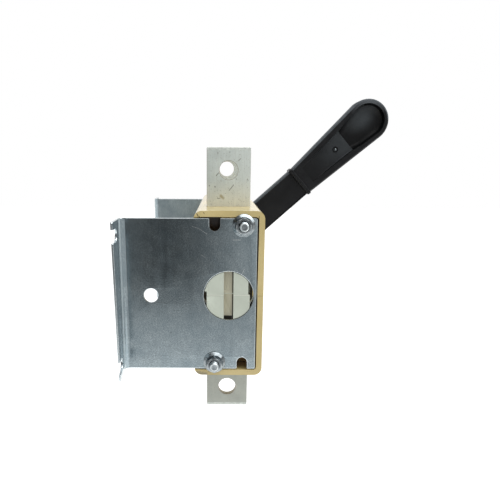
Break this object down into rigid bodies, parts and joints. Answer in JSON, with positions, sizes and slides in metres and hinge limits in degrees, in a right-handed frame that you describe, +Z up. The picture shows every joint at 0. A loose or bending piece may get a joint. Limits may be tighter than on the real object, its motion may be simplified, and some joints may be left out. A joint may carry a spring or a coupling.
{
  "type": "knife switch disconnector",
  "caption": "Open knife switch disconnector: flat terminal bars above and below a moulded housing between bent steel cheeks, turned by a side handle on its rotor.",
  "frame": {"origin": "centre of the left mounting flange, on its back face, level with the rotor axis", "axes": "+X along the rotor axis towards the handle, +Y into the wall, +Z up; the front of the switch faces -Y"},
  "size_m": [0.321, 0.3053, 0.3206],
  "materials": {
    "zinc_plated_sheet": "satin",
    "moulded_housing": "satin",
    "tinned_bar": "satin",
    "copper_blade": "satin",
    "zinc_plated_fastener": "polished",
    "spring_steel": "satin",
    "moulded_rotor": "satin",
    "brass_spacer": "satin",
    "black_plastic": "satin"
  },
  "bodies": {
    "frame": {"left_cheek": "zinc_plated_sheet", "right_cheek": "zinc_plated_sheet", "upper_housing": "moulded_housing", "lower_housing": "moulded_housing", "upper_terminal_a": "tinned_bar", "upper_terminal_b": "tinned_bar", "upper_terminal_c": "tinned_bar", "lower_terminal_a": "tinned_bar", "lower_terminal_b": "tinned_bar", "lower_terminal_c": "tinned_bar", "upper_bar_bolts": "zinc_plated_fastener", "lower_bar_bolts": "zinc_plated_fastener", "left_top_stud": "zinc_plated_fastener", "left_top_nut": "zinc_plated_fastener", "left_bottom_stud": "zinc_plated_fastener", "left_bottom_nut": "zinc_plated_fastener", "right_top_stud": "zinc_plated_fastener", "right_top_nut": "zinc_plated_fastener", "right_bottom_stud": "zinc_plated_fastener", "right_bottom_nut": "zinc_plated_fastener"},
    "rotor_body": {"rotor": "moulded_rotor", "left_knife_a": "copper_blade", "right_knife_a": "copper_blade", "left_knife_b": "copper_blade", "right_knife_b": "copper_blade", "left_knife_c": "copper_blade", "right_knife_c": "copper_blade", "knife_spacer_a": "brass_spacer", "knife_spacer_b": "brass_spacer", "knife_spacer_c": "brass_spacer", "contact_springs_a": "spring_steel", "contact_springs_b": "spring_steel", "contact_springs_c": "spring_steel", "handle_hub": "black_plastic", "handle_arm": "black_plastic", "handle_grip": "black_plastic", "handle_screw": "zinc_plated_fastener"}
  },
  "joints": [
    {"name": "rotor_turn", "type": "hinge", "parent": "frame", "child": "rotor_body", "pos_m": [0.13755, -0.0935, 0], "axis": [1, 0, 0], "range_deg": [0, 90]}
  ]
}
